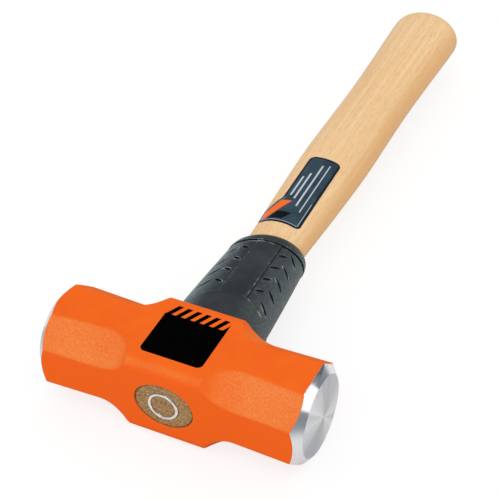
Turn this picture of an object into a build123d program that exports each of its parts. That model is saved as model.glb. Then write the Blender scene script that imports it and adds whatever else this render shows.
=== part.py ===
from build123d import *
from math import cos, radians, sin, tan
import os

# Short-handled octagonal sledgehammer, lying on one cheek. Millimetres.
# +X runs along the head, +Y along the handle towards its butt, +Z up through the cheeks.
# The origin is on the lower cheek, straight under the middle of the head.
# Every piece is modelled round the middle of the head and lifted to that origin at the end.

# ---- head: a square eye block between two octagonal ends ----
head_length = 121.5       # from rim to rim of the striking faces
face_diameter = 36.0      # turned striking face
face_crown = 1.2          # rise of a face's middle above its rim
bevel_angle = 38.5        # of the turned bevel, from the face's plane
block_depth = 44.0        # eye face to handle face
block_height = 41.2       # cheek to cheek
block_length = 31.7       # full section, before it runs out into the necks
edge_round = 6.0          # of the block's four long edges
neck_span = 58.4          # between the slimmest sections of the two necks
neck_depth = 41.6
neck_height = 40.6
end_depth = 43.6          # across the ends, at the faces
end_height = 39.3
chamfer_lean = 42.0       # from straight up to a diagonal flat's normal
chamfer_span = 42.8       # across two opposite diagonal flats, at the faces
chamfer_dip = 0.8         # how much deeper a diagonal flat lies at its inner end
scallop_span = 62.4       # between the inner ends of the two flats on one corner
scallop_radius = 18.0     # where a diagonal flat sweeps out through the block's edge

# ---- eye: an oval hole, waisted so that the spread tenon can't pull out ----
eye_length = 27.1         # along the head, at both mouths
eye_width = 22.6          # across the cheeks, at both mouths
eye_waist = 0.93          # size of the eye's middle against its mouths
eye_play = 0.12           # line left open round the tenon

# ---- ring wedge: a short steel tube driven into the tenon's end grain ----
ring_diameter = 14.0
ring_wall = 1.4
ring_depth = 16.0
ring_taper = 0.45         # how much slimmer the tube is at its sharp end
ring_edge = 0.5           # wall left at the sharp end
ring_flare = 5.3          # length over which the tube thins to that wall
ring_offset_x = -0.45     # driven in slightly off the eye's middle
ring_offset_z = -0.6
ring_play = 0.15          # line left open between the tube and the wood
ring_break = 0.3          # edge break on the tube's rim
ring_recess = 0.2         # of the tube's rim below the eye face

# ---- handle: oval hardwood, thickest at the butt ----
tenon_recess = 0.5        # of the end grain below the eye face
shoulder_length = 12.0    # over which the wood turns from the eye's oval to the neck's
handle_reach = 285.3      # from the head's middle to the end of the butt
handle_ratio = 0.745      # thickness across the cheeks against width
neck_width = 26.9         # where the grip comes out of the collar
belly_width = 32.6
waist_width = 31.7
butt_width = 34.9
belly_reach = 158.5       # places of those widths, from the head's middle
waist_reach = 206.0
butt_reach = 273.0
belly_fullness = 0.5      # how far the swell runs ahead of a straight taper
waist_hollow = 0.4        # how far the stretch after the waist stays behind one
butt_crown = 33.0         # radius of the butt's domed end
butt_round = 8.3          # radius round the dome's edge

# ---- shock collar: moulded rubber sleeve between head and grip ----
collar_reach = 82.6       # from the head's middle to the middle of the collar's outer end
collar_ratio = 0.76       # thickness across the cheeks against width
collar_base_width = 42.6
collar_middle_width = 39.8
collar_top_width = 36.2   # under the lip's groove
collar_middle = 0.52      # where the middle width lies along the sleeve
collar_skew = 0.165       # rise of the outer end and tread towards the butt, from side to side
collar_play = 0.1         # between the sleeve and the wood
lip_height = 6.4          # rolled lip at the outer end
lip_step = 0.3            # how far the lip stands in from the sleeve
lip_face = 1.2            # flat ring left on the lip's end, round the wood
groove_width = 1.0        # groove under the lip
relief_turn = 8.5         # how far the tread sits turned on the wood, in degrees
panel_depth = 0.5         # how far a tread panel is sunk below the smooth strips
panel_angle = 17.5        # from the middle of a smooth strip to the panel's side
panel_foot = 37.0         # where a panel's two sides bow in towards the head
panel_tip = 29.6          # where they meet
panel_bow = 2.6
slot_depth = 1.2          # of the tread slots and of the lip's groove, below the smooth strips
slot_width = 1.4
tread_rows = 5            # of long slots in a panel, with a short one between each two
tread_pitch = 8.6
tread_start = 39.2        # first long slot, on the side of +X
tread_stagger = 5.9       # how much further out the long slots of the other side start, one fewer
short_start = 42.8        # first short slot, on both sides
long_run = 4.6            # of a long slot towards the head, from its near to its far end
long_near = 37.0          # angles of those ends, from the middle of the smooth strip
long_far = 58.0
short_run = 2.4           # of a short slot towards the butt
short_near = 21.0
short_far = 34.0

# ---- printed label, a film wrapped on the grip ----
film_thickness = 0.25
film_gap = 0.05           # of adhesive between film and wood
label_start = 93.5
label_length = 49.5
label_width = 15.6
label_centre = 0.6        # of its width, from the cheek's middle plane
label_round = 2.4
flag_length = 18.0        # wider stretch at the end next to the collar
flag_reach = 5.2          # how far that stretch stands out on one side

# worked out from the sizes above
head_axis = block_height / 2
half_length = head_length / 2
face_radius = face_diameter / 2
outside = head_length     # a distance safely beyond the head's sides
eye_face = -block_depth / 2
handle_face = block_depth / 2
lip_start = collar_reach - lip_height


def oval(y, width, height):
    """A section across the handle's axis, at a distance from the head's middle."""
    place = Plane(origin=(0, y, 0), x_dir=(1, 0, 0), z_dir=(0, 1, 0))
    return place * Ellipse(width / 2, height / 2)


def long_profile(block, neck, end):
    """Outline of the head from one side: full at the block, waisted at the necks."""
    x_block = block_length / 2
    x_neck = neck_span / 2
    x_end = half_length + 2 * face_crown
    slope = (end - neck) / 2 / (half_length - x_neck)
    end_half = neck / 2 + slope * (x_end - x_neck)
    quarter = make_face([
        Line((0, 0), (0, block / 2)),
        Line((0, block / 2), (x_block, block / 2)),
        Spline((x_block, block / 2), (x_neck, neck / 2), tangents=[(1, 0), (1, slope)]),
        Line((x_neck, neck / 2), (x_end, end_half)),
        Line((x_end, end_half), (x_end, 0)),
        Line((x_end, 0), (0, 0)),
    ])
    half = quarter + mirror(quarter, about=Plane.YZ)
    return half + mirror(half, about=Plane.XZ)


def turned_envelope():
    """What the lathe leaves of the two ends: a bevel round each crowned face."""
    rise = outside * tan(radians(bevel_angle))
    rim = (half_length, face_radius)
    shoulder = (half_length - rise, face_radius + outside)
    outline = make_face([
        Line((0, 0), (0, shoulder[1])),
        Line((0, shoulder[1]), shoulder),
        Line(shoulder, rim),
        TangentArc((half_length + face_crown, 0), rim, tangent=(0, 1)),
        Line((half_length + face_crown, 0), (0, 0)),
    ])
    right = revolve(outline, Axis.X)
    return right + mirror(right, about=Plane.YZ)


def chamfer_cutter(angle):
    """Takes one diagonal flat off one end and sweeps it out through the block's edge."""
    start = scallop_span / 2
    flat = chamfer_span / 2
    inner = flat - chamfer_dip
    finish = half_length + 2 * face_crown
    top = inner + scallop_radius
    outline = make_face([
        CenterArc((start, top), scallop_radius, 180, 90),
        Line((start, inner), (finish, flat)),
        Line((finish, flat), (finish, top)),
        Line((finish, top), (start - scallop_radius, top)),
    ])
    cutter = extrude(Plane.XZ * outline, block_depth, both=True)
    return Rot(X=angle) * cutter


def make_head():
    blank = extrude(Plane.YZ * RectangleRounded(block_depth, block_height, edge_round), outside, both=True)
    blank &= extrude(long_profile(block_depth, neck_depth, end_depth), outside, both=True)
    blank &= extrude(Plane.XZ * long_profile(block_height, neck_height, end_height), outside, both=True)
    for angle in (chamfer_lean, 180 - chamfer_lean, 180 + chamfer_lean, -chamfer_lean):
        cutter = chamfer_cutter(angle)
        blank -= cutter
        blank -= mirror(cutter, about=Plane.YZ)
    blank &= turned_envelope()
    return blank - eye_solid(0, eye_face - 1, handle_face + 1)


def eye_solid(play, first, last):
    """The eye's oval between two places on its axis, or the tenon that fills it with some play."""
    def section(y):
        flare = 1 - (1 - eye_waist) * (1 - abs(y) / handle_face)
        return oval(y, eye_length * flare - 2 * play, eye_width * flare - 2 * play)

    return loft([section(first), section(0), section(last)], ruled=True)


def ring_solid(play, rim_recess):
    """The ring wedge's tube, or with some play the seat that it cuts in the end grain."""
    outer = ring_diameter / 2 + play
    inner = ring_diameter / 2 - ring_wall - play
    top = eye_face + rim_recess
    tip = eye_face + ring_recess + ring_depth + play
    tip_outer = outer - ring_taper
    tip_inner = tip_outer - ring_edge - 2 * play
    section = make_face(Polyline(
        (inner, top), (outer, top), (tip_outer, tip), (tip_inner, tip), (inner, tip - ring_flare),
        close=True))
    return Pos(ring_offset_x, 0, ring_offset_z) * revolve(section, Axis.Y)


def make_ring_wedge():
    tube = ring_solid(0, ring_recess)
    rim = tube.edges().group_by(Axis.Y)[0]
    return chamfer(rim, ring_break)


def grip_solid(extra=0.0):
    """The handle from the head outwards, still square at its butt, or grown by extra all round."""
    widths = [
        (handle_face + shoulder_length, neck_width),
        (collar_reach, neck_width),
        ((collar_reach + belly_reach) / 2, (neck_width + belly_width) / 2 + belly_fullness),
        (belly_reach, belly_width),
        ((belly_reach + waist_reach) / 2, (belly_width + waist_width) / 2),
        (waist_reach, waist_width),
        ((waist_reach + butt_reach) / 2, (waist_width + butt_width) / 2 - waist_hollow),
        (butt_reach, butt_width),
        (handle_reach, butt_width),
    ]
    play = extra - eye_play
    sections = [oval(handle_face, eye_length + 2 * play, eye_width + 2 * play)]
    for y, width in widths:
        sections.append(oval(y, width + 2 * extra, width * handle_ratio + 2 * extra))
    return loft(sections)


def make_handle():
    grip = grip_solid()
    straight = handle_reach - butt_crown
    dome = Pos(0, straight, 0) * Sphere(butt_crown)
    grip &= dome + Pos(0, straight / 2, 0) * Box(outside, straight, outside)
    rim = grip.edges().filter_by(lambda edge: edge.center().Y > butt_reach)
    grip = fillet(rim, butt_round)
    tenon = eye_solid(eye_play, eye_face + tenon_recess, handle_face)
    return tenon + grip - ring_solid(ring_play, 0)


def collar_curve():
    """The plain sleeve's side as half width against distance: one arc through three widths."""
    groove = lip_start - groove_width
    middle = handle_face + (groove - handle_face) * collar_middle
    return ThreePointArc(
        (collar_base_width / 2, handle_face), (collar_middle_width / 2, middle), (collar_top_width / 2, groove))


def collar_half_width(y):
    """Half the plain sleeve's width at a place on the handle's axis."""
    arc = collar_curve()
    centre = arc.arc_center
    return centre.X + (arc.radius**2 - (y - centre.Y) ** 2) ** 0.5


def round_sleeve(inset=0.0):
    """The collar before it is flattened: a turned solid, or that solid sunk by inset."""
    groove = lip_start - groove_width
    root = handle_face - collar_base_width * collar_skew
    side = Pos(-inset, 0) * collar_curve()
    floor = collar_top_width / 2 - slot_depth - inset
    lip_radius = collar_top_width / 2 - lip_step - inset
    end_radius = neck_width / 2 + collar_play + lip_face
    outline = make_face([
        Line((0, root), (collar_base_width / 2 - inset, root)),
        Line((collar_base_width / 2 - inset, root), side @ 0),
        side,
        Line(side @ 1, (floor, groove)),
        Line((floor, groove), (floor, lip_start)),
        Line((floor, lip_start), (lip_radius, lip_start)),
        TangentArc((lip_radius, lip_start), (end_radius, collar_reach), tangent=(0, 1)),
        Line((end_radius, collar_reach), (0, collar_reach)),
        Line((0, collar_reach), (0, root)),
    ])
    return revolve(outline, Axis.Y)


def leaf(start, end):
    """A slot with pointed ends, swelling to its width in the middle."""
    run = Vector(*end) - Vector(*start)
    middle = Vector(*start) + run / 2
    across = run.rotate(Axis.Z, 90).normalized() * (slot_width / 2)
    return make_face([
        ThreePointArc(start, middle + across, end),
        ThreePointArc(end, middle - across, start),
    ])


def tread_fields():
    """The two sunk sides: everything beyond a bowed foot, seen from the side, but for the smooth strips."""
    top = lip_start - groove_width / 2
    corner = (panel_foot, collar_half_width(panel_foot) * cos(radians(panel_angle)))
    half = make_face([
        SagittaArc((panel_tip, 0), corner, panel_bow),
        Line(corner, (panel_foot, outside)),
        Line((panel_foot, outside), (top, outside)),
        Line((top, outside), (top, 0)),
        Line((top, 0), (panel_tip, 0)),
    ])
    field = extrude(Plane.YZ * (half + mirror(half, about=Plane.XZ)), outside, both=True)
    foot_half = collar_half_width(panel_foot) * sin(radians(panel_angle))
    top_half = collar_half_width(top) * sin(radians(panel_angle))
    strip = make_face(Polyline(
        (-foot_half, panel_foot), (foot_half, panel_foot), (top_half, top), (-top_half, top), close=True))
    return field - extrude(strip, outside, both=True)


def tread_slot(y, run, near, far):
    """One slot run square through the sleeve's wall, between two angles from the strip's middle."""
    reach = collar_half_width(y) * sin(radians(far - near) / 2)
    outline = leaf((-reach, y), (reach, y + run))
    return Rot(Y=(near + far) / 2) * extrude(outline, collar_base_width)


def tread_slots(start, rows):
    """The slots of one side: rows of a long and a short one, like an arrow's barbs, on both halves."""
    slots = []
    for row in range(rows):
        slots.append(tread_slot(start + row * tread_pitch, -long_run, long_near, long_far))
    for row in range(tread_rows - 1):
        slots.append(tread_slot(short_start + row * tread_pitch, short_run, short_near, short_far))
    return slots + [mirror(slot, about=Plane.XY) for slot in slots]


def make_shock_collar():
    """Tread cut into the round sleeve, the whole then flattened, set askew and bored to fit the wood."""
    slots = tread_slots(tread_start, tread_rows)
    for slot in tread_slots(tread_start + tread_stagger, tread_rows - 1):
        slots.append(mirror(slot, about=Plane.YZ))
    turn = Rot(Y=relief_turn)
    body = round_sleeve() - (turn * tread_fields() - round_sleeve(panel_depth))
    body -= [turn * slot - round_sleeve(slot_depth) for slot in slots]
    askew = Matrix([[1, 0, 0, 0], [collar_skew, 1, 0, 0], [0, 0, collar_ratio, 0]])
    body = body.transform_geometry(askew)
    beyond = Pos(0, handle_face + outside / 2, 0) * Box(outside, outside, outside)
    return (body & beyond) - grip_solid(collar_play)


def make_handle_label():
    left = label_centre - label_width / 2
    panel = Pos(label_centre, label_start + label_length / 2) * Rectangle(label_width, label_length)
    flag = make_face(Polyline(
        (left, label_start), (left, label_start + flag_length),
        (left - flag_reach, label_start + flag_length / 2), (left - flag_reach, label_start), close=True))
    outline = panel + flag
    outline = fillet(outline.vertices(), label_round)
    skin = grip_solid().faces().sort_by(SortBy.AREA)[-1]
    patch = (skin & extrude(outline, outside)).faces()[0]
    return thicken(patch, film_gap + film_thickness) - thicken(patch, film_gap)


nodes = {
    "head": make_head,
    "handle": make_handle,
    "ring_wedge": make_ring_wedge,
    "shock_collar": make_shock_collar,
    "handle_label": make_handle_label,
}

os.makedirs("parts", exist_ok=True)
for name, make in nodes.items():
    export_step(Pos(0, 0, head_axis) * make(), f"parts/{name}.step")
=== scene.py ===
import bpy
from math import atan2, cos, pi, radians, sin, sqrt, tan
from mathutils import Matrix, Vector


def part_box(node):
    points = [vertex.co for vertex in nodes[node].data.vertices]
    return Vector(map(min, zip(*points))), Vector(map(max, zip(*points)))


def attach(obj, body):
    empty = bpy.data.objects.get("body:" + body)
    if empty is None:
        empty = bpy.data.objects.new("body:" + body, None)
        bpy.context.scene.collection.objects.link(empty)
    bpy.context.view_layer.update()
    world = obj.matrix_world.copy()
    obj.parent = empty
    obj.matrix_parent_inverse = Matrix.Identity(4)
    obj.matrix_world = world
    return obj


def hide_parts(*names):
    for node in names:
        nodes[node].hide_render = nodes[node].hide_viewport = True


# Metres: +X runs along the head, +Y along the handle to its butt, +Z up through the cheeks.
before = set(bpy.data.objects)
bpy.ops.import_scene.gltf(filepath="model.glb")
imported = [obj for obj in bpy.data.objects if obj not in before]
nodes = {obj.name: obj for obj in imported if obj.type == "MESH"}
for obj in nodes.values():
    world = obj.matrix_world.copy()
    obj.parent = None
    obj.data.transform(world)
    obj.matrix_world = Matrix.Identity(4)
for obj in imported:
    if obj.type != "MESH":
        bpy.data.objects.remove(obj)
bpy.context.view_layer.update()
mm = 0.001
headLow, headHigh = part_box("head")
headAxis = (headLow.z + headHigh.z) / 2


# A screen colour from 0 to 255 as linear light, with full opacity.
def toLinear(red, green, blue):
    parts = [value / 255 for value in (red, green, blue)]
    return [part / 12.92 if part <= 0.04045 else ((part + 0.055) / 1.055) ** 2.4 for part in parts] + [1.0]


# Short ways to add nodes to one material or node group.
class Shader:
    def __init__(self, tree):
        self.tree = tree

    def add(self, kind, inputs=None, **settings):
        node = self.tree.nodes.new(kind)
        for key, value in settings.items():
            setattr(node, key, value)
        for key, value in (inputs or {}).items():
            self.feed(node.inputs[key], value)
        return node

    def feed(self, socket, value):
        if isinstance(value, bpy.types.NodeSocket):
            self.tree.links.new(value, socket)
        else:
            socket.default_value = value

    def math(self, operation, first, second=0.0, third=0.0):
        return self.add("ShaderNodeMath", {0: first, 1: second, 2: third}, operation=operation).outputs[0]

    def times(self, *values):
        product = values[0]
        for value in values[1:]:
            product = self.math("MULTIPLY", product, value)
        return product

    def size(self, value):
        return self.math("ABSOLUTE", value)

    # 0 below low and 1 above high; swapped numbers give the reverse.
    def band(self, value, low, high):
        ends = (low, high, 0.0, 1.0) if low <= high else (high, low, 1.0, 0.0)
        return self.rescale(value, *ends, kind="SMOOTHSTEP")

    # 1 from low to high, with soft ends.
    def between(self, value, low, high, soft):
        rise = self.band(value, low - soft, low + soft)
        return self.times(rise, self.band(value, high + soft, high - soft))

    def rescale(self, value, low, high, newLow, newHigh, kind="LINEAR"):
        inputs = {0: value, 1: low, 2: high, 3: newLow, 4: newHigh}
        return self.add("ShaderNodeMapRange", inputs, interpolation_type=kind).outputs[0]

    def mix(self, factor, first, second):
        node = self.add("ShaderNodeMix", data_type="RGBA")
        for index, value in ((0, factor), (6, first), (7, second)):
            self.feed(node.inputs[index], value)
        return node.outputs[2]

    def place(self):
        return self.add("ShaderNodeTexCoord").outputs["Object"]

    def split(self, vector):
        return self.add("ShaderNodeSeparateXYZ", {0: vector}).outputs

    def join(self, x, y, z):
        return self.add("ShaderNodeCombineXYZ", {0: x, 1: y, 2: z}).outputs[0]

    def stretch(self, vector, scale):
        return self.add("ShaderNodeVectorMath", {0: vector, 1: scale}, operation="MULTIPLY").outputs[0]

    def noise(self, vector, scale, detail=2.0, roughness=0.5):
        inputs = {"Vector": vector, "Scale": scale, "Detail": detail, "Roughness": roughness}
        return self.add("ShaderNodeTexNoise", inputs).outputs[0]

    def bump(self, height, depth, normal):
        inputs = {"Height": height, "Distance": depth, "Strength": 0.8, "Normal": normal}
        return self.add("ShaderNodeBump", inputs).outputs[0]

    def group(self, tree, **inputs):
        return self.add("ShaderNodeGroup", inputs, node_tree=tree).outputs


def newGroup(name, inputs, outputs):
    tree = bpy.data.node_groups.new(name, "ShaderNodeTree")
    kinds = {"vector": "NodeSocketVector", "float": "NodeSocketFloat", "color": "NodeSocketColor"}
    for side, sockets in (("INPUT", inputs), ("OUTPUT", outputs)):
        for label, kind in sockets.items():
            tree.interface.new_socket(name=label, in_out=side, socket_type=kinds[kind])
    s = Shader(tree)
    return s, s.add("NodeGroupInput").outputs, s.add("NodeGroupOutput").inputs


# Fine grain of any surface: its height from 0 to 1, and the normal it gives.
def makeGrainGroup():
    inputs = {"Place": "vector", "Scale": "float", "Low": "float", "High": "float", "Depth": "float"}
    inputs["Normal"] = "vector"
    s, given, result = newGroup("fineGrain", inputs, {"Grain": "float", "Normal": "vector"})
    raw = s.noise(given["Place"], given["Scale"], 3.0, 0.65)
    grain = s.rescale(raw, given["Low"], given["High"], 0, 1, kind="SMOOTHSTEP")
    s.feed(result["Grain"], grain)
    s.feed(result["Normal"], s.bump(grain, given["Depth"], given["Normal"]))
    return s.tree


# Softened edges: the rounded normal, how deep a point lies in a hollow, and how near it is to a rim.
def makeEdgeGroup():
    outputs = {"Normal": "vector", "Hollow": "float", "Rim": "float"}
    s, given, result = newGroup("softEdges", {"Radius": "float", "Reach": "float"}, outputs)
    s.feed(result["Normal"], s.add("ShaderNodeBevel", {"Radius": given["Radius"]}, samples=6).outputs[0])
    for label, inside in (("Hollow", False), ("Rim", True)):
        look = {"samples": 6, "inside": inside, "only_local": True}
        clear = s.add("ShaderNodeAmbientOcclusion", {"Distance": given["Reach"]}, **look).outputs["AO"]
        s.feed(result[label], s.rescale(clear, 0.95, 0.5, 0, 1))
    return s.tree


# Slow changes of tone between two colours.
def makeMottleGroup():
    inputs = {"Place": "vector", "Scale": "float", "First": "color", "Second": "color"}
    s, given, result = newGroup("mottle", inputs, {"Tone": "float", "Color": "color"})
    tone = s.band(s.noise(given["Place"], given["Scale"], 3.0, 0.6), 0.32, 0.7)
    s.feed(result["Tone"], tone)
    s.feed(result["Color"], s.mix(tone, given["First"], given["Second"]))
    return s.tree


grainGroup = makeGrainGroup()
edgeGroup = makeEdgeGroup()
mottleGroup = makeMottleGroup()


def newMaterial(name):
    material = bpy.data.materials.new(name)
    material.use_nodes = True
    shader = Shader(material.node_tree)
    return material, shader, material.node_tree.nodes["Principled BSDF"]


# Sets the Principled shader's sockets by name, with _ for a space.
def dress(shader, principled, **inputs):
    for key, value in inputs.items():
        shader.feed(principled.inputs[key.replace("_", " ")], value)


def newMesh(name, points, faces, material, smooth=True):
    mesh = bpy.data.meshes.new(name)
    mesh.from_pydata(points, [], faces)
    mesh.validate()
    for polygon in mesh.polygons:
        polygon.use_smooth = smooth
    thing = bpy.data.objects.new(name, mesh)
    bpy.context.scene.collection.objects.link(thing)
    mesh.materials.append(material)
    return thing


head = {
    "orange": toLinear(234, 102, 30),
    "mild": toLinear(231, 96, 29),
    # deep: the painted shade of the sideways-facing flats
    "deep": toLinear(237, 98, 29),
    "sandAndSheen": toLinear(232, 137, 74),
    "mottleScale": 60.0,
    "sandScale": 1350.0,
    "sandDepth": 0.07 * mm,
    "smoothDepth": 0.004 * mm,
    "rightEnd": (18.0 * mm, 34.0 * mm),  # over which the block's finish becomes an end's
    "leftEnd": (-13.0 * mm, -20.0 * mm),
    "farEnds": (26.0 * mm, 32.0 * mm),
    "eyeSand": 0.45,  # share of the sand and its painted sheen left on the diagonals beside the eye
    "farSand": 0.2,  # and on the ends' diagonals that face the handle, whose weaker sheen there is painted shade
    "rimHighlightShare": 0.2,
    "edgeRound": 1.1 * mm,
    "edgeReach": 1.2 * mm,
    "flatBlend": 2.2 * mm,  # over which one flat's finish runs into the next
    "satin": 0.45,
    "rough": 0.85,
    "polished": 0.2,
    "black": toLinear(1, 1, 2),
    "steelDark": toLinear(176, 177, 182),
    "steelLight": toLinear(242, 242, 243),
    "ringScale": 3200.0,
    "ringDepth": 0.003 * mm,
    "ringTone": 0.12,
    # The face's painted reflections: the turn of its sectors, their tones, its streaks and its dark line;
    # then the bevel's tone.
    "sectorTurn": 48.0,
    "reflectionSectorTone": (-0.05, 0.85),
    "reflectionStreakTone": 0.2,
    "reflectionLineTone": 0.3,  # of the thin dark line of painted reflection through the bright sectors
    "coneTone": 0.85,
    "turnedRough": 0.22,
    "turnedPlay": 0.03 * mm,
    "faceRadius": 18.0 * mm,
    "bevelAngle": 38.5,
    "halfLength": 60.75 * mm,
    "bareFrom": 57.25 * mm,
    "bareFade": 0.2 * mm,
    "bareRagged": 0.25 * mm,
    "panelHalf": 14.2 * mm,
    "panelEnd": -14.5 * mm,
    "panelTop": 9.4 * mm,
    "panelRound": 2.6 * mm,
    "slashTop": 15.3 * mm,
    "slashPitch": 4.32 * mm,
    "slashShare": 0.54,
    "slashLean": 0.5,
    "slashStart": -13.7 * mm,
}


# Orange enamel: smooth on the flats, sand-textured on the diagonals with a painted sheen, with a black
# panel on the cheek;
# painted shade on the sideways-facing flats and a painted highlight along the edges.
def paintMaterial():
    material, s, principled = newMaterial("orangeEnamel")
    place = s.place()
    x, y = s.split(place)[:2]
    flatNz = s.split(s.add("ShaderNodeNewGeometry").outputs["Normal"])[2]
    edges = s.group(edgeGroup, Radius=head["edgeRound"], Reach=head["edgeReach"])
    wide = s.add("ShaderNodeBevel", {"Radius": head["flatBlend"]}, samples=6).outputs[0]
    ny, nz = s.split(wide)[1:]
    diagonal = s.band(s.math("MINIMUM", s.size(ny), s.size(nz)), 0.34, 0.66)
    onEnd = s.math("MAXIMUM", s.band(x, *head["rightEnd"]), s.band(x, *head["leftEnd"]))
    # The ends' diagonals that face the handle keep less of the lift: painted shade.
    farSide = s.times(s.band(ny, 0.3, 0.6), s.band(s.size(x), *head["farEnds"]))
    byEye = s.rescale(onEnd, 0, 1, head["eyeSand"], 1)
    sandAndSheen = s.times(diagonal, byEye, s.rescale(farSide, 0, 1, 1, head["farSand"]))
    look = {"First": head["orange"], "Second": head["mild"]}
    mottle = s.group(mottleGroup, Place=place, Scale=head["mottleScale"], **look)
    # Sideways-facing flats, the eye faces among them, take a deeper orange: painted shade.
    smooth = s.mix(s.band(s.size(nz), 0.25, 0.85), head["deep"], mottle["Color"])
    depth = s.rescale(sandAndSheen, 0, 1, head["smoothDepth"], head["sandDepth"])
    look = {"Low": 0.36, "High": 0.66, "Depth": depth, "Normal": edges["Normal"]}
    grain = s.group(grainGroup, Place=place, Scale=head["sandScale"], **look)
    patchy = s.rescale(mottle["Tone"], 0, 1, 1, 0.75)
    # The lift toward the pale colour is the sand's own tone together with a painted sheen.
    lift = s.times(sandAndSheen, patchy, s.rescale(grain["Grain"], 0, 1, 0.34, 1))
    color = s.mix(lift, smooth, head["sandAndSheen"])
    # A painted highlight makes the paint paler along its edges.
    color = s.mix(s.times(edges["Rim"], head["rimHighlightShare"]), color, head["sandAndSheen"])
    panel = panelMask(s, x, y, flatNz)
    color = s.mix(panel, color, head["black"])
    ragged = s.math("ADD", x, s.times(grain["Grain"], head["bareRagged"]))
    bare = s.band(ragged, head["bareFrom"], head["bareFrom"] + head["bareFade"])
    bare = s.times(bare, s.band(flatNz, 0.9, 0.95))
    steel = s.group(latheGroup, Place=place, Normal=edges["Normal"])
    color = s.mix(bare, color, steel["Color"])
    normal = s.mix(bare, grain["Normal"], steel["Cone"])
    painted = s.times(diagonal, s.math("SUBTRACT", 1.0, bare))
    roughness = s.rescale(painted, 0, 1, head["satin"], head["rough"])
    roughness = s.rescale(bare, 0, 1, roughness, head["polished"])
    dress(s, principled, Base_Color=color, Metallic=bare, Roughness=roughness, Normal=normal)
    dress(s, principled, Specular_IOR_Level=0.015)
    return material


# 1 inside the black panel: a rectangle rounded at the eye's side, with a comb of leaning slashes.
def panelMask(s, x, y, nz):
    half = head["panelHalf"]
    rounding = head["panelRound"]
    sideways = s.math("SUBTRACT", s.size(x), half - rounding)
    downwards = s.math("SUBTRACT", head["panelEnd"] + rounding, y)
    corner = s.join(s.math("MAXIMUM", sideways, 0.0), s.math("MAXIMUM", downwards, 0.0), 0.0)
    away = s.add("ShaderNodeVectorMath", {0: corner}, operation="LENGTH").outputs["Value"]
    inside = s.math("LESS_THAN", away, rounding)
    block = s.times(inside, s.math("LESS_THAN", y, head["panelTop"]))
    lean = s.times(s.math("SUBTRACT", y, head["panelTop"]), head["slashLean"])
    along = s.math("SUBTRACT", s.math("SUBTRACT", x, lean), head["slashStart"])
    turn = s.math("FRACT", s.math("DIVIDE", along, head["slashPitch"]))
    stripe = s.math("LESS_THAN", turn, head["slashShare"])
    reach = s.between(y, head["panelTop"] - 0.3 * mm, head["slashTop"], 0.01 * mm)
    started = s.times(s.math("GREATER_THAN", along, 0.0), s.math("LESS_THAN", s.size(x), half))
    comb = s.times(stripe, reach, started)
    return s.times(s.math("MAXIMUM", block, comb), s.math("GREATER_THAN", nz, 0.9))


# Steel off the lathe: fine rings round the head's axis, painted reflections on the face as light and dark
# sectors with streaks and a thin dark line, and the normal of the bevel's cone.
def makeLatheGroup():
    outputs = {"Color": "color", "Normal": "vector", "Cone": "vector"}
    s, given, result = newGroup("latheRingsAndPaintedReflections", {"Place": "vector", "Normal": "vector"}, outputs)
    x, y, z = s.split(given["Place"])
    up = s.math("SUBTRACT", z, headAxis)
    radius = s.math("SQRT", s.math("ADD", s.times(y, y), s.times(up, up)))
    look = {"Low": 0.3, "High": 0.7, "Depth": head["ringDepth"], "Normal": given["Normal"]}
    rings = s.group(grainGroup, Place=s.join(radius, 0.0, 0.0), Scale=head["ringScale"], **look)
    # Painted reflections: light and dark sectors round the face, with radial streaks and a thin dark line.
    turn = s.math("ARCTAN2", s.times(y, -1.0), up)
    spoke = s.join(s.math("COSINE", turn), s.math("SINE", turn), 0.0)
    spokes = s.rescale(s.noise(spoke, 5.0, 4.0, 0.6), 0.3, 0.7, -head["reflectionStreakTone"], head["reflectionStreakTone"])
    along = s.math("SUBTRACT", turn, radians(head["sectorTurn"]))
    wave = s.math("COSINE", s.times(along, 2.0))
    line = s.band(s.size(s.math("SINE", along)), 0.2, 0.0)
    sector = s.math("ADD", s.rescale(wave, -1, 1, *head["reflectionSectorTone"]), spokes)
    sector = s.math("SUBTRACT", sector, s.times(line, head["reflectionLineTone"]))
    onFace = s.band(radius, head["faceRadius"] + 0.2 * mm, head["faceRadius"])
    tone = s.rescale(onFace, 0, 1, head["coneTone"], sector)
    tone = s.math("ADD", tone, s.rescale(rings["Grain"], 0, 1, -head["ringTone"], head["ringTone"]))
    s.feed(result["Color"], s.mix(tone, head["steelDark"], head["steelLight"]))
    s.feed(result["Normal"], rings["Normal"])
    lean = radians(head["bevelAngle"])
    sideways = s.times(s.math("SIGN", x), cos(lean))
    outward = s.math("DIVIDE", sin(lean), radius)
    s.feed(result["Cone"], s.join(sideways, s.times(y, outward), s.times(up, outward)))
    return s.tree


# Bare steel of the bevels and striking faces.
def turnedSteelMaterial():
    material, s, principled = newMaterial("turnedSteel")
    edges = s.group(edgeGroup, Radius=0.35 * mm, Reach=0.6 * mm)
    steel = s.group(latheGroup, Place=s.place(), Normal=edges["Normal"])
    # A painted highlight along the edges; the lathe colour carries the painted reflections.
    color = s.mix(s.times(edges["Rim"], 0.5), steel["Color"], head["steelLight"])
    tangent = s.add("ShaderNodeTangent", direction_type="RADIAL", axis="X").outputs[0]
    dress(s, principled, Base_Color=color, Metallic=1.0, Normal=steel["Normal"])
    dress(s, principled, Roughness=head["turnedRough"])
    dress(s, principled, Anisotropic=0.95, Anisotropic_Rotation=0.25, Tangent=tangent)
    return material


# True on the bevel cones and crowned faces.
def isTurned(point):
    radius = sqrt(point.y ** 2 + (point.z - headAxis) ** 2)
    beyond = max(radius - head["faceRadius"], 0.0)
    cone = head["halfLength"] - beyond * tan(radians(head["bevelAngle"]))
    return abs(point.x) > cone - head["turnedPlay"]


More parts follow.
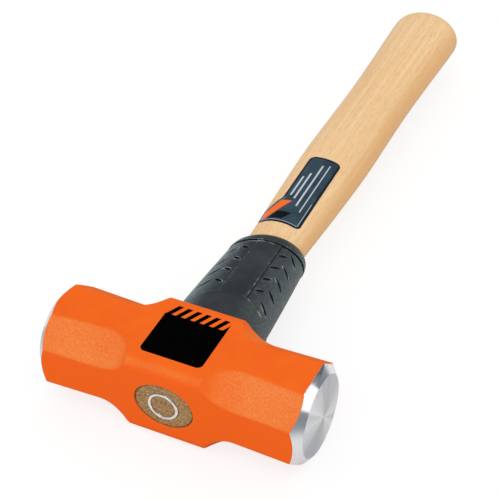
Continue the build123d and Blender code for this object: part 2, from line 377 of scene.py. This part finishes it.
def dressHead():
    part = nodes["head"]
    part.data.materials.clear()
    part.data.materials.append(paintMaterial())
    part.data.materials.append(turnedSteelMaterial())
    for polygon in part.data.polygons:
        corners = [part.data.vertices[i].co for i in polygon.vertices]
        polygon.material_index = 1 if all(isTurned(corner) for corner in corners) else 0


latheGroup = makeLatheGroup()
dressHead()
print("stage: head")

wedge = {
    "offsetX": -0.45 * mm,
    "offsetZ": -0.6 * mm,
    "radius": 7.0 * mm,
    "bore": 5.6 * mm,
    "steel": toLinear(228, 228, 230),
    "bright": toLinear(254, 254, 254),
    "scuffScale": 600.0,
    "scuffDepth": 0.02 * mm,
    "outerSeam": (0.42 * mm, 0.1 * mm),  # where the dark line round the tube, a dark joint deepened by painted shadow, fades out, and is full
    "innerSeam": (0.5 * mm, 0.1 * mm),
    "seamLeast": 0.2,  # share of the line left on the side away from its painted shadow
}
handle = {
    "pale": toLinear(238, 203, 157),
    "tan": toLinear(222, 178, 122),
    # side: the tone of random drifts, and of the painted shade on the grip's sides
    "side": toLinear(214, 160, 98),
    "fleck": toLinear(208, 156, 106),
    "endGrain": toLinear(200, 163, 112),
    "endDark": toLinear(90, 64, 34),
    "seamAndShade": toLinear(34, 24, 16),
    "driftStretch": (60.0, 6.0, 60.0),
    "streakStretch": (640.0, 9.0, 640.0),
    "fibreStretch": (1.0, 0.02, 1.0),
    "fibreScale": 2600.0,
    "fleckStretch": (1.0, 0.12, 1.0),
    "fleckScale": 1700.0,
    "grainDepth": 0.01 * mm,
    "streakShare": (0.05, 0.68),
    "fibreShare": 0.42,
    "fleckShare": 0.48,
    "driftShare": 0.3,
    "limbShadeShare": 0.75,
    "ringTurn": 2400.0,  # of the growth rings, in radians per metre
    "ringBend": 16.0,
    "ringShare": 0.12,
    "poreScale": 1500.0,
    "poreShare": 0.5,
    "rayScale": 2200.0,
    "rayShare": 0.38,
    "endDepth": 0.08 * mm,
    "start": 30.0 * mm,
    "collarEnd": 82.6 * mm,
    "neckPlace": 34.0 * mm,
    "neck": 26.9 * mm,
    "belly": 32.6 * mm,
    "waist": 31.7 * mm,
    "butt": 34.9 * mm,
    "bellyPlace": 158.5 * mm,
    "waistPlace": 206.0 * mm,
    "buttPlace": 273.0 * mm,
    "end": 285.3 * mm,
    "ratio": 0.745,
    "bellyFullness": 0.5 * mm,
    "waistHollow": 0.4 * mm,
    "crown": 33.0 * mm,
    "buttRound": 8.3 * mm,
    "tenonRecess": 0.5 * mm,
    "tenonLength": 26.86 * mm,
    "tenonWidth": 22.36 * mm,
    "sides": 96,
    "rings": 120,
    "domeSteps": 14,
    "tenonSides": 72,
    # The tenon end's profile: share of its oval, and depth below its face.
    "tenonSteps": [
        (0.3, 0.0), (0.6, 0.0), (0.9, 0.0), (0.975, 0.0),
        (0.993, 0.12 * mm), (1.0, 0.35 * mm), (1.0, 5.0 * mm),
    ],
}


def gripStops():
    h = handle
    return [
        (h["neckPlace"], h["neck"]),
        (h["collarEnd"], h["neck"]),
        ((h["collarEnd"] + h["bellyPlace"]) / 2, (h["neck"] + h["belly"]) / 2 + h["bellyFullness"]),
        (h["bellyPlace"], h["belly"]),
        ((h["bellyPlace"] + h["waistPlace"]) / 2, (h["belly"] + h["waist"]) / 2),
        (h["waistPlace"], h["waist"]),
        ((h["waistPlace"] + h["buttPlace"]) / 2, (h["waist"] + h["butt"]) / 2 - h["waistHollow"]),
        (h["buttPlace"], h["butt"]),
        (h["end"], h["butt"]),
    ]


# Half the handle's width at a place along it: a smooth curve through the stops.
def gripHalfWidth(y):
    stops = gripStops()
    last = len(stops) - 1
    index = 0
    while index < last - 1 and y > stops[index + 1][0]:
        index += 1
    (startY, startW), (endY, endW) = stops[index], stops[index + 1]

    def slope(k):
        if k <= 0 or k >= last:
            return 0.0
        back = (stops[k][1] - stops[k - 1][1]) / (stops[k][0] - stops[k - 1][0])
        front = (stops[k + 1][1] - stops[k][1]) / (stops[k + 1][0] - stops[k][0])
        share = (stops[k][0] - stops[k - 1][0]) / (stops[k + 1][0] - stops[k - 1][0])
        return back * (1 - share) + front * share

    span = endY - startY
    t = min(max((y - startY) / span, 0.0), 1.0)
    width = (2 * t**3 - 3 * t**2 + 1) * startW + (t**3 - 2 * t**2 + t) * span * slope(index)
    width += (3 * t**2 - 2 * t**3) * endW + (t**3 - t**2) * span * slope(index + 1)
    return width / 2


# A point of the handle's oval, from +X at angle 0 to +Z at a quarter turn.
def gripPoint(y, angle):
    half = gripHalfWidth(y)
    return Vector((half * cos(angle), y, headAxis + half * handle["ratio"] * sin(angle)))


# One line of the handle's skin, from under the collar over the butt's round to the dome's middle.
def handleColumn(angle):
    h = handle
    points = []
    for i in range(h["rings"] + 1):
        y = h["start"] + (h["buttPlace"] - h["start"]) * i / h["rings"]
        points.append(gripPoint(y, angle))
    edge = gripPoint(h["end"], angle) - Vector((0, h["end"], headAxis))
    radius = edge.length
    outward = edge.normalized()
    domeCentre = h["end"] - h["crown"]
    roundRadius = radius - h["buttRound"]
    roundY = domeCentre + sqrt((h["crown"] - h["buttRound"]) ** 2 - roundRadius ** 2)
    domeAngle = atan2(roundRadius, roundY - domeCentre)
    steps = h["domeSteps"]
    for i in range(steps + 1):
        turn = pi / 2 + (domeAngle - pi / 2) * i / steps
        reach = roundRadius + h["buttRound"] * sin(turn)
        points.append(outward * reach + Vector((0, roundY + h["buttRound"] * cos(turn), headAxis)))
    for i in range(1, steps):
        turn = domeAngle * (1 - i / steps)
        reach = h["crown"] * sin(turn)
        points.append(outward * reach + Vector((0, domeCentre + h["crown"] * cos(turn), headAxis)))
    return points


# Straight-grained hardwood under clear lacquer.
def woodMaterial():
    material, s, principled = newMaterial("hickory")
    place = s.place()
    normal = s.add("ShaderNodeNewGeometry").outputs["Normal"]
    nx = s.split(normal)[0]
    drift = s.noise(s.stretch(place, handle["driftStretch"]), 1.0)
    streak = s.noise(s.stretch(place, handle["streakStretch"]), 1.0, 4.0, 0.6)
    look = {"Place": s.stretch(place, handle["fibreStretch"]), "Scale": handle["fibreScale"]}
    look.update(Low=0.42, High=0.75, Depth=handle["grainDepth"], Normal=normal)
    fibre = s.group(grainGroup, **look)
    look = {"Place": s.stretch(place, handle["fleckStretch"]), "Scale": handle["fleckScale"]}
    look.update(Low=0.5, High=0.7, Depth=handle["grainDepth"], Normal=fibre["Normal"])
    flecks = s.group(grainGroup, **look)
    streaks = s.rescale(streak, 0.35, 0.68, *handle["streakShare"])
    color = s.mix(streaks, handle["pale"], handle["tan"])
    color = s.mix(s.times(fibre["Grain"], handle["fibreShare"]), color, handle["tan"])
    color = s.mix(s.times(flecks["Grain"], handle["fleckShare"]), color, handle["fleck"])
    color = s.mix(s.times(s.band(drift, 0.45, 0.8), handle["driftShare"]), color, handle["side"])
    # The grip's sides, where its normal turns sideways, are darkened: painted shade.
    limbShade = s.band(s.size(nx), 0.55, 1.0)
    color = s.mix(s.times(limbShade, handle["limbShadeShare"]), color, handle["side"])
    roughness = s.rescale(fibre["Grain"], 0, 1, 0.42, 0.5)
    dress(s, principled, Base_Color=color, Roughness=roughness, Normal=flecks["Normal"])
    dress(s, principled, Specular_IOR_Level=0.3)
    return material


# Cut end of the wood: brown and porous, with faint growth rings, a dark line round the wedge that is a
# dark joint with painted shadow on one side, and painted shade round its rim in the eye.
def endGrainMaterial():
    material, s, principled = newMaterial("endGrain")
    place = s.place()
    normal = s.add("ShaderNodeNewGeometry").outputs["Normal"]
    x, _, z = s.split(place)
    bend = s.noise(place, 90.0)
    level = s.math("ADD", s.times(z, handle["ringTurn"]), s.times(bend, handle["ringBend"]))
    rings = s.rescale(s.math("SINE", level), -1, 1, 0, 1)
    look = {"Low": 0.3, "High": 0.7, "Depth": handle["endDepth"]}
    pores = s.group(grainGroup, Place=place, Scale=handle["poreScale"], Normal=normal, **look)
    long = s.stretch(place, (1.0, 1.0, 0.3))
    rays = s.group(grainGroup, Place=long, Scale=handle["rayScale"], Normal=pores["Normal"], **look)
    speckle = s.times(rays["Grain"], handle["rayShare"])
    speckle = s.math("ADD", s.times(pores["Grain"], handle["poreShare"]), speckle)
    tone = s.math("ADD", s.times(rings, handle["ringShare"]), speckle)
    color = s.mix(tone, handle["endDark"], handle["endGrain"])
    # The dark lines round the tube and its bore: dark joints, with painted shadow strongest on one side.
    across = s.math("SUBTRACT", x, wedge["offsetX"])
    rise = s.math("SUBTRACT", z, headAxis + wedge["offsetZ"])
    reach = s.math("SQRT", s.math("ADD", s.times(across, across), s.times(rise, rise)))
    outer = s.band(s.size(s.math("SUBTRACT", reach, wedge["radius"])), *wedge["outerSeam"])
    inner = s.band(s.size(s.math("SUBTRACT", reach, wedge["bore"])), *wedge["innerSeam"])
    lean = s.math("ADD", across, rise)
    outer = s.times(outer, s.rescale(lean, -5 * mm, 9 * mm, wedge["seamLeast"], 1))
    inner = s.times(inner, s.rescale(lean, 5 * mm, -9 * mm, wedge["seamLeast"], 1))
    color = s.mix(s.math("MAXIMUM", outer, inner), color, handle["seamAndShade"])
    # Painted shade round the rim of the cut end, where it sits down in the eye.
    wide = s.math("DIVIDE", x, handle["tenonLength"] / 2)
    tall = s.math("DIVIDE", s.math("SUBTRACT", z, headAxis), handle["tenonWidth"] / 2)
    oval = s.math("SQRT", s.math("ADD", s.times(wide, wide), s.times(tall, tall)))
    color = s.mix(s.times(s.band(oval, 0.92, 1.0), 0.6), color, handle["seamAndShade"])
    dress(s, principled, Base_Color=color, Roughness=0.75, Specular_IOR_Level=0.1, Normal=rays["Normal"])
    return material


# The grip as one fine skin from under the collar to the butt.
def makeGrip():
    sides = handle["sides"]
    columns = [handleColumn(2 * pi * k / sides) for k in range(sides)]
    count = len(columns[0])
    points = [point for column in columns for point in column]
    faces = []
    for k in range(sides):
        after = (k + 1) % sides
        for i in range(count - 1):
            faces.append((k * count + i + 1, after * count + i + 1, after * count + i, k * count + i))
    tip = len(points)
    points.append(Vector((0, handle["end"], headAxis)))
    for k in range(sides):
        after = (k + 1) % sides
        faces.append((after * count + count - 1, k * count + count - 1, tip))
        faces.append((k * count, after * count, tip + 1))
    points.append(Vector((0, handle["start"], headAxis)))
    grip = newMesh("grip", points, faces, woodMaterial())
    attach(grip, "root")
    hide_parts("handle")


# The tenon's cut end as it shows in the eye, its rim a little rounded.
def makeTenon():
    h = handle
    face = headLow.y + h["tenonRecess"]
    sides = h["tenonSides"]
    points = [Vector((0, face, headAxis))]
    for share, drop in h["tenonSteps"]:
        for k in range(sides):
            turn = 2 * pi * k / sides
            across = h["tenonLength"] / 2 * share * cos(turn)
            rise = h["tenonWidth"] / 2 * share * sin(turn)
            points.append(Vector((across, face + drop, headAxis + rise)))
    faces = [(0, 1 + k, 1 + (k + 1) % sides) for k in range(sides)]
    for ring in range(len(h["tenonSteps"]) - 1):
        base = 1 + ring * sides
        for k in range(sides):
            after = (k + 1) % sides
            faces.append((base + k, base + sides + k, base + sides + after, base + after))
    points.append(Vector((0, points[-1].y, headAxis)))
    last = 1 + (len(h["tenonSteps"]) - 1) * sides
    faces += [(last + (k + 1) % sides, last + k, last + sides) for k in range(sides)]
    tenon = newMesh("tenonEnd", points, faces, endGrainMaterial())
    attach(tenon, "root")


makeGrip()
makeTenon()
print("stage: handle")


def ringMaterial():
    material, s, principled = newMaterial("wedgeSteel")
    edges = s.group(edgeGroup, Radius=0.2 * mm, Reach=0.4 * mm)
    look = {"Low": 0.3, "High": 0.7, "Depth": wedge["scuffDepth"], "Normal": edges["Normal"]}
    scuff = s.group(grainGroup, Place=s.place(), Scale=wedge["scuffScale"], **look)
    color = s.mix(scuff["Grain"], wedge["steel"], wedge["bright"])
    roughness = s.rescale(scuff["Grain"], 0, 1, 0.22, 0.4)
    dress(s, principled, Base_Color=color, Metallic=1.0, Roughness=roughness, Normal=scuff["Normal"])
    return material


nodes["ring_wedge"].data.materials.clear()
nodes["ring_wedge"].data.materials.append(ringMaterial())
print("stage: ring wedge")

collar = {
    "slate": toLinear(36, 42, 45),
    "worn": toLinear(50, 56, 59),
    # side, rim and hollow: a painted sheen that also colours the fields' speckle, a painted highlight, and
    # painted shade
    "side": toLinear(126, 152, 153),
    "rim": toLinear(168, 178, 180),
    "hollow": toLinear(14, 18, 20),
    "edgeRound": 0.35 * mm,
    "edgeReach": 1.3 * mm,
    "smoothDepth": 0.02 * mm,
    "roughDepth": 0.34 * mm,
    "skinScale": 800.0,
    "mottleScale": 70.0,
    "patchScale": 260.0,
    "rimGlintShare": (0.05, 0.85),
}


# Satin moulded rubber: painted shade darkens its slots, a painted highlight pales its edges, and a painted
# sheen pales its sides; its roughened sides also carry a pale speckle.
def rubberMaterial():
    material, s, principled = newMaterial("mouldedRubber")
    place = s.place()
    edges = s.group(edgeGroup, Radius=collar["edgeRound"], Reach=collar["edgeReach"])
    nx = s.split(edges["Normal"])[0]
    # Sideways-facing sides are made paler, the left more: a painted sheen; the fields get a pale speckle
    # of their own.
    side = s.math("MAXIMUM", s.band(nx, -0.2, -0.85), s.times(s.band(nx, 0.3, 1.0), 0.3))
    look = {"First": collar["slate"], "Second": collar["worn"]}
    mottle = s.group(mottleGroup, Place=place, Scale=collar["mottleScale"], **look)
    fields = s.band(s.size(nx), 0.25, 0.5)
    depth = s.rescale(fields, 0, 1, collar["smoothDepth"], collar["roughDepth"])
    look = {"Low": 0.35, "High": 0.7, "Depth": depth, "Normal": edges["Normal"]}
    skin = s.group(grainGroup, Place=place, Scale=collar["skinScale"], **look)
    side = s.math("MAXIMUM", side, s.times(fields, 0.12))
    color = s.mix(s.times(side, s.rescale(skin["Grain"], 0, 1, 0.4, 1)), mottle["Color"], collar["side"])
    # A painted highlight along the edges, in patches.
    patches = s.band(s.noise(place, collar["patchScale"]), 0.5, 0.68)
    rims = s.times(edges["Rim"], s.rescale(patches, 0, 1, *collar["rimGlintShare"]))
    color = s.mix(rims, color, collar["rim"])
    # Painted shade in the slots and at the foot of each step.
    color = s.mix(s.band(edges["Hollow"], 0.02, 0.28), color, collar["hollow"])
    roughness = s.rescale(mottle["Tone"], 0, 1, 0.36, 0.48)
    dress(s, principled, Base_Color=color, Roughness=roughness, Normal=skin["Normal"])
    dress(s, principled, Specular_IOR_Level=0.5)
    return material


nodes["shock_collar"].data.materials.clear()
nodes["shock_collar"].data.materials.append(rubberMaterial())
print("stage: collar")

label = {
    "slate": toLinear(42, 61, 74),
    "haze": toLinear(57, 77, 89),
    "edge": toLinear(18, 30, 44),
    "rule": toLinear(188, 197, 204),
    "orange": toLinear(243, 104, 21),
    "black": toLinear(14, 13, 15),
    "start": 93.5 * mm,
    "length": 49.5 * mm,
    "left": -7.2 * mm,
    "right": 8.4 * mm,
    "flagReach": 5.2 * mm,
    "flagLength": 18.0 * mm,
    "round": 2.4 * mm,
    "lift": 0.14 * mm,  # of the film's upper and under side above the wood
    "under": 0.02 * mm,
    "rows": 120,
    "columns": 40,
    "mottleScale": 120.0,
    "skinScale": 2400.0,
    "stripSoft": 0.15 * mm,
    "edgeWidth": 1.0 * mm,
    "keylineFrom": 1.2 * mm,
    "keylineTo": 1.5 * mm,
    "keylineEnd": 18.0 * mm,
    "keylineShare": 0.75,
    "barLean": -0.55,
    # Each bar's colour, low and high side across, start and end along.
    "bars": [
        ("orange", -15.2 * mm, -10.2 * mm, 2.0 * mm, 15.5 * mm),
        ("black", -9.4 * mm, -2.6 * mm, 2.4 * mm, 7.6 * mm),
    ],
    # Each rule's middle and thickness across, start and end along.
    "rules": [
        (-4.2 * mm, 0.9 * mm, 19.5 * mm, 34.0 * mm),
        (-1.6 * mm, 0.9 * mm, 17.5 * mm, 37.0 * mm),
        (1.4 * mm, 0.8 * mm, 13.0 * mm, 44.0 * mm),
        (4.4 * mm, 0.5 * mm, 10.0 * mm, 45.5 * mm),
    ],
}


# The film's left and right edge at a place along the handle, rounded at its corners.
def labelEdges(y):
    rounding = label["round"]
    fromStart = y - label["start"]
    fromEnd = label["start"] + label["length"] - y
    left = label["left"]
    if fromStart < label["flagLength"] / 2:
        left -= label["flagReach"]
    elif fromStart < label["flagLength"]:
        left -= label["flagReach"] * (2 - 2 * fromStart / label["flagLength"])
    near = min(fromStart, fromEnd)
    trim = rounding - sqrt(max(rounding ** 2 - max(rounding - near, 0.0) ** 2, 0.0))
    return left + trim, label["right"] - trim


# A point just off the handle's upper side.
def skinPoint(x, y, lift):
    half = gripHalfWidth(y)
    rise = half * handle["ratio"] * sqrt(max(1 - (x / half) ** 2, 0.0))
    normal = Vector((x / half ** 2, 0, rise / (half * handle["ratio"]) ** 2)).normalized()
    return Vector((x, y, headAxis + rise)) + normal * lift


# A slate film with a dark edge, an orange and a black bar, and pale rules in place of words.
def labelMaterial():
    material, s, principled = newMaterial("labelPrint")
    place = s.place()
    x, y = s.split(place)[:2]
    inset = s.add("ShaderNodeAttribute", attribute_name="inset").outputs["Fac"]
    normal = s.add("ShaderNodeNewGeometry").outputs["Normal"]
    along = s.math("SUBTRACT", y, label["start"])
    look = {"First": label["slate"], "Second": label["haze"]}
    mottle = s.group(mottleGroup, Place=place, Scale=label["mottleScale"], **look)
    look = {"Low": 0.3, "High": 0.7, "Depth": 0.01 * mm, "Normal": normal}
    skin = s.group(grainGroup, Place=place, Scale=label["skinScale"], **look)
    color = mottle["Color"]
    slant = s.math("ADD", x, s.times(along, label["barLean"]))
    for name, low, high, start, end in label["bars"]:
        color = s.mix(stripMask(s, slant, along, low, high, start, end), color, label[name])
    for middle, thickness, start, end in label["rules"]:
        mask = stripMask(s, x, along, middle - thickness / 2, middle + thickness / 2, start, end)
        color = s.mix(mask, color, label["rule"])
    keyline = s.between(inset, label["keylineFrom"], label["keylineTo"], 0.1 * mm)
    keyline = s.times(keyline, s.band(along, label["keylineEnd"] + mm, label["keylineEnd"] - mm))
    color = s.mix(s.times(keyline, label["keylineShare"]), color, label["rule"])
    dark = s.band(inset, label["edgeWidth"] + 0.3 * mm, label["edgeWidth"] - 0.3 * mm)
    color = s.mix(dark, color, label["edge"])
    roughness = s.rescale(skin["Grain"], 0, 1, 0.32, 0.4)
    dress(s, principled, Base_Color=color, Roughness=roughness, Normal=skin["Normal"])
    dress(s, principled, Specular_IOR_Level=0.15)
    return material


# 1 inside a bar between low and high across, start and end along.
def stripMask(s, across, along, low, high, start, end):
    soft = label["stripSoft"]
    return s.times(s.between(across, low, high, soft), s.between(along, start, end, soft))


# The film as a thin sheet that hugs the wood; each corner knows how far it is from the film's edge.
def makeLabel():
    rows = label["rows"]
    columns = label["columns"]
    points = []
    insets = []
    for lift in (label["lift"], label["under"]):
        for i in range(rows + 1):
            y = label["start"] + label["length"] * i / rows
            left, right = labelEdges(y)
            for j in range(columns + 1):
                x = left + (right - left) * j / columns
                points.append(skinPoint(x, y, lift))
                toEnd = min(y - label["start"], label["start"] + label["length"] - y)
                insets.append(min(x - left, right - x, toEnd))
    faces = []
    width = columns + 1
    below = len(points) // 2
    for i in range(rows):
        for j in range(columns):
            first = i * width + j
            face = (first, first + 1, first + width + 1, first + width)
            faces += [face, tuple(below + corner for corner in reversed(face))]
    rim = list(range(columns)) + [i * width + columns for i in range(rows)]
    rim += [rows * width + j for j in range(columns, 0, -1)] + [i * width for i in range(rows, 0, -1)]
    for here, after in zip(rim, rim[1:] + rim[:1]):
        faces.append((after, here, below + here, below + after))
    film = newMesh("labelFilm", points, faces, labelMaterial())
    film.data.set_sharp_from_angle(angle=radians(40))
    film.data.attributes.new("inset", "FLOAT", "POINT").data.foreach_set("value", insets)
    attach(film, "root")
    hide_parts("handle_label")


makeLabel()
print("stage: label")

studio = {
    "skyStrength": 0.95,
    "glossDim": 0.25,
    "glossTint": (0.9, 0.97, 1.06, 1.0),
    "windowLight": 1.5,
    # A window's borders, each dark at its first number and bright at its second. The near and the
    # end border slant, so theirs come after the slope at which they rise.
    "windowSide": (0.5, 0.6),
    "windowNear": (0.9, -0.03, 0.0),
    "windowEnd": (0.142, 0.55, 0.51),
    "windowTop": (0.7, 0.5),
    "keyStrength": 0.6,
    "keySpread": 50.0,
    "keyTurn": (28.0, 12.0, 0.0),
    "floorPale": (0.82, 0.82, 0.82, 1),
    "floorSpeck": (0.80, 0.80, 0.80, 1),
    "floorDark": (0.24, 0.26, 0.3, 1),
    "shadowShare": 0.2,
    "floorSize": 6.0,
    "speckScale": 400.0,
    "poolInner": 0.08,
    "poolOuter": 0.17,
    "litFrom": 0.012,  # the strip that stays pale beyond the pool
    "litTo": 0.072,
    "litSoft": 0.008,
    "cameraPlace": (0.24289, -0.42823, 0.50909),
    "cameraTurn": (49.336, 1.016, 25.526),
    "lens": 119.35,
}


# A white floor with a faint shadow; in reflections it is a painted pool of light that darkens away from
# the head.
def makeFloor():
    material, s, principled = newMaterial("paleFloor")
    rays = s.add("ShaderNodeLightPath").outputs
    seen = rays["Is Camera Ray"]
    place = s.place()
    speck = s.noise(place, studio["speckScale"])
    x, y = s.split(place)[:2]
    far = s.band(s.size(x), studio["poolInner"], studio["poolOuter"])
    lit = s.between(y, studio["litFrom"], studio["litTo"], studio["litSoft"])
    grey = s.mix(speck, studio["floorSpeck"], studio["floorPale"])
    # Painted shade on the floor, as reflections see it, beyond the pool and the lit strip.
    dark = s.times(far, rays["Is Glossy Ray"], s.math("SUBTRACT", 1.0, lit))
    grey = s.mix(dark, grey, studio["floorDark"])
    share = studio["shadowShare"]
    color = s.mix(seen, grey, (share, share, share, 1))
    dress(s, principled, Base_Color=color, Roughness=0.9, Specular_IOR_Level=0.0)
    dress(s, principled, Emission_Color=(1, 1, 1, 1), Emission_Strength=s.times(seen, 1 - share))
    size = studio["floorSize"]
    corners = [(-size, -size, 0), (size, -size, 0), (size, size, 0), (-size, size, 0)]
    floor = newMesh("floor", corners, [(0, 1, 2, 3)], material, False)


# An even white room. In reflections it is a dim blue-grey, with a bright window at each side.
def lightScene():
    world = bpy.data.worlds.new("whiteRoom")
    bpy.context.scene.world = world
    world.use_nodes = True
    s = Shader(world.node_tree)
    background = world.node_tree.nodes["Background"]
    x, y, z = s.split(s.add("ShaderNodeTexCoord").outputs["Generated"])
    slope, *border = studio["windowNear"]
    near = s.band(s.math("MULTIPLY_ADD", z, slope, y), *border)
    slope, *border = studio["windowEnd"]
    end = s.band(s.math("MULTIPLY_ADD", z, slope, y), *border)
    side = s.band(s.size(x), *studio["windowSide"])
    window = s.times(side, near, end, s.band(z, *studio["windowTop"]))
    gloss = s.add("ShaderNodeLightPath").outputs["Is Glossy Ray"]
    seen = s.rescale(window, 0, 1, studio["glossDim"], studio["windowLight"])
    tint = s.mix(s.times(gloss, s.math("SUBTRACT", 1.0, window)), (1, 1, 1, 1), studio["glossTint"])
    s.feed(background.inputs["Color"], tint)
    s.feed(background.inputs["Strength"], s.rescale(gloss, 0, 1, studio["skyStrength"], seen))
    sun = bpy.data.lights.new("key", "SUN")
    sun.energy = studio["keyStrength"]
    sun.angle = radians(studio["keySpread"])
    lamp = bpy.data.objects.new("key", sun)
    lamp.rotation_euler = [radians(angle) for angle in studio["keyTurn"]]
    bpy.context.scene.collection.objects.link(lamp)


def placeCamera():
    camera = bpy.data.cameras.new("camera")
    thing = bpy.data.objects.new("camera", camera)
    bpy.context.scene.collection.objects.link(thing)
    thing.location = studio["cameraPlace"]
    thing.rotation_euler = [radians(angle) for angle in studio["cameraTurn"]]
    camera.sensor_width = 36
    camera.lens = studio["lens"]
    bpy.context.scene.camera = thing


makeFloor()
lightScene()
placeCamera()
bpy.context.scene.view_settings.view_transform = "Standard"
print("stage: light and camera")
